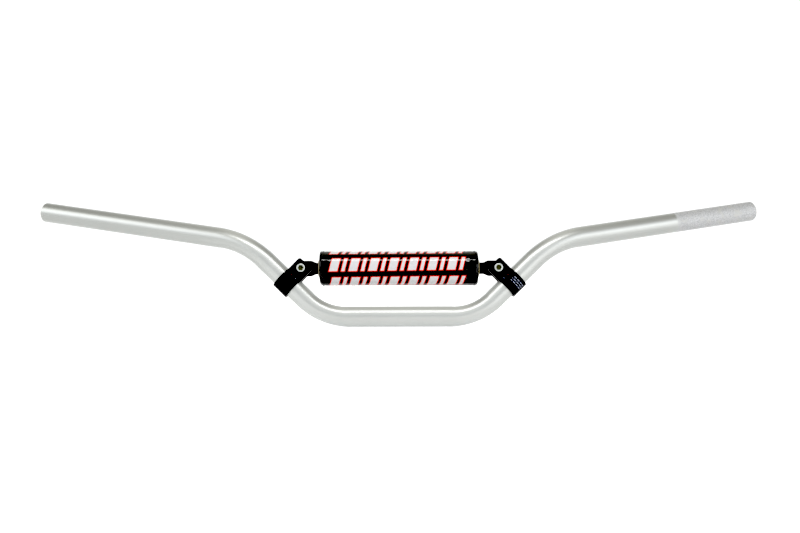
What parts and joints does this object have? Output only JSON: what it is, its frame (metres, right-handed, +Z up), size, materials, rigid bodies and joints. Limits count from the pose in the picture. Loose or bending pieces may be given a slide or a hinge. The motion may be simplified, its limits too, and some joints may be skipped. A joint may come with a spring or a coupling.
{
  "type": "motorcycle handlebar",
  "caption": "Bent tubular motorcycle handlebar with a bolted crossbar in two split clamps and a wrapped foam pad that turns on the crossbar.",
  "frame": {"origin": "centre of the tube's straight middle section, on its axis, where the machine's bar clamps hold it", "axes": "+X along the bar to the rider's left hand, +Y back towards the rider, +Z up"},
  "size_m": [0.8326, 0.0937, 0.1405],
  "materials": {
    "bar_aluminium": "satin",
    "black_aluminium": "satin",
    "bright_steel": "satin",
    "lock_nylon": "satin",
    "pad_foam": "matte",
    "cover_vinyl": "gloss",
    "hook_and_loop": "matte",
    "sewing_thread": "matte"
  },
  "bodies": {
    "bar": {"bar_tube": "bar_aluminium", "crossbar": "black_aluminium", "clamp_left": "black_aluminium", "clamp_right": "black_aluminium", "clamp_screw_left": "bright_steel", "clamp_screw_right": "bright_steel", "clamp_washer_left": "bright_steel", "clamp_washer_right": "bright_steel", "clamp_nut_left": "bright_steel", "clamp_nut_right": "bright_steel", "nut_lock_ring_left": "lock_nylon", "nut_lock_ring_right": "lock_nylon"},
    "pad": {"pad_foam": "pad_foam", "pad_cover": "cover_vinyl", "pad_hook_strip": "hook_and_loop", "pad_loop_strip": "hook_and_loop", "hem_thread_left": "sewing_thread", "hem_thread_right": "sewing_thread"}
  },
  "joints": [
    {"name": "pad_turn", "type": "hinge", "parent": "bar", "child": "pad", "pos_m": [-0.001, 0.00458, 0.0523], "axis": [1, 0, 0], "continuous": true}
  ]
}
